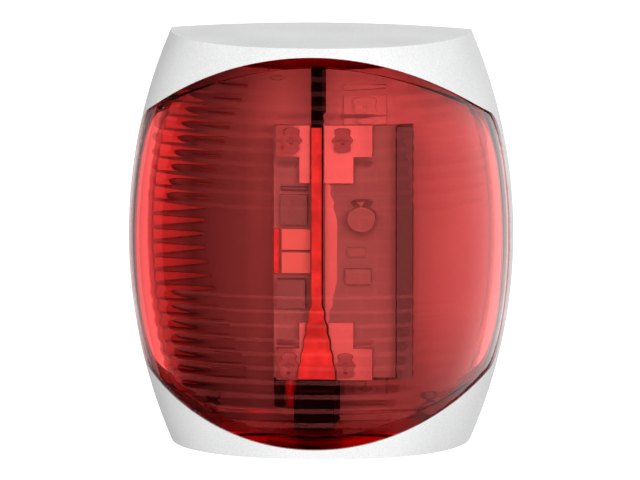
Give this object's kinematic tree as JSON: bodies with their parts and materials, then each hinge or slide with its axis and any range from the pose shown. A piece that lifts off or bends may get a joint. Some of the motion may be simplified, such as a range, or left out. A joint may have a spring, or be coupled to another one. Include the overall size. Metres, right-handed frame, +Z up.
{
  "type": "boat navigation light",
  "caption": "Red port-side navigation light: barrel-shaped white housing around a bulging red lens, sliding onto a wall plate and locked from below.",
  "frame": {"origin": "centre of the mounting face, which lies in the plane Y = 0, at the middle of the light's height and width", "axes": "+Z up, -Y out of the wall and ahead of the lens, +X to the right when one faces the lens"},
  "size_m": [0.07, 0.0417, 0.075],
  "materials": {
    "white_plastic": "satin, finely textured",
    "red_lens": "polished, clear red",
    "black_plastic": "satin",
    "black_rubber": "matt",
    "clear_rubber": "matt, milky",
    "red_sleeve": "satin",
    "stainless": "bright",
    "brass": "turned",
    "aluminium": "plain sheet",
    "board": "lacquered",
    "led_phosphor": "pale yellow, satin"
  },
  "bodies": {
    "mount": {"mounting_plate": "white_plastic", "plate_gasket": "black_rubber", "lock_washer": "stainless"},
    "lantern": {"housing": "white_plastic", "lens": "red_lens", "back_cover": "white_plastic", "back_seal": "clear_rubber", "back_screw_1": "stainless", "back_screw_2": "stainless", "back_screw_3": "stainless", "back_screw_4": "stainless", "vent_plug": "black_plastic", "cable_gland": "black_rubber", "lock_insert": "brass", "led_bracket": "aluminium", "bracket_screw_1": "stainless", "bracket_screw_2": "stainless", "led_board": "board", "led_emitter_upper": "led_phosphor", "led_emitter_lower": "led_phosphor", "led_side_strip": "white_plastic", "driver_chip": "black_plastic", "inductor": "black_plastic", "protection_diode": "black_plastic", "sense_resistor": "black_plastic", "capacitor": "aluminium", "board_clamp_top": "white_plastic", "board_clamp_bottom": "white_plastic", "clamp_screw_1": "stainless", "clamp_screw_2": "stainless", "clamp_screw_3": "stainless", "clamp_screw_4": "stainless", "cutoff_screen": "black_plastic", "reflector_strip": "white_plastic", "aft_screen": "black_plastic", "lead_negative": "black_rubber", "lead_positive": "red_sleeve"},
    "lock_screw": {"lock_screw": "stainless"}
  },
  "joints": [
    {"name": "lantern_slide", "type": "slide", "parent": "mount", "child": "lantern", "axis": [0, 0, 1], "range_m": [0, 0.056]},
    {"name": "lock_screw_turn", "type": "hinge", "parent": "mount", "child": "lock_screw", "pos_m": [0, -0.0084, -0.0329], "axis": [0, 0, -1], "continuous": true}
  ]
}
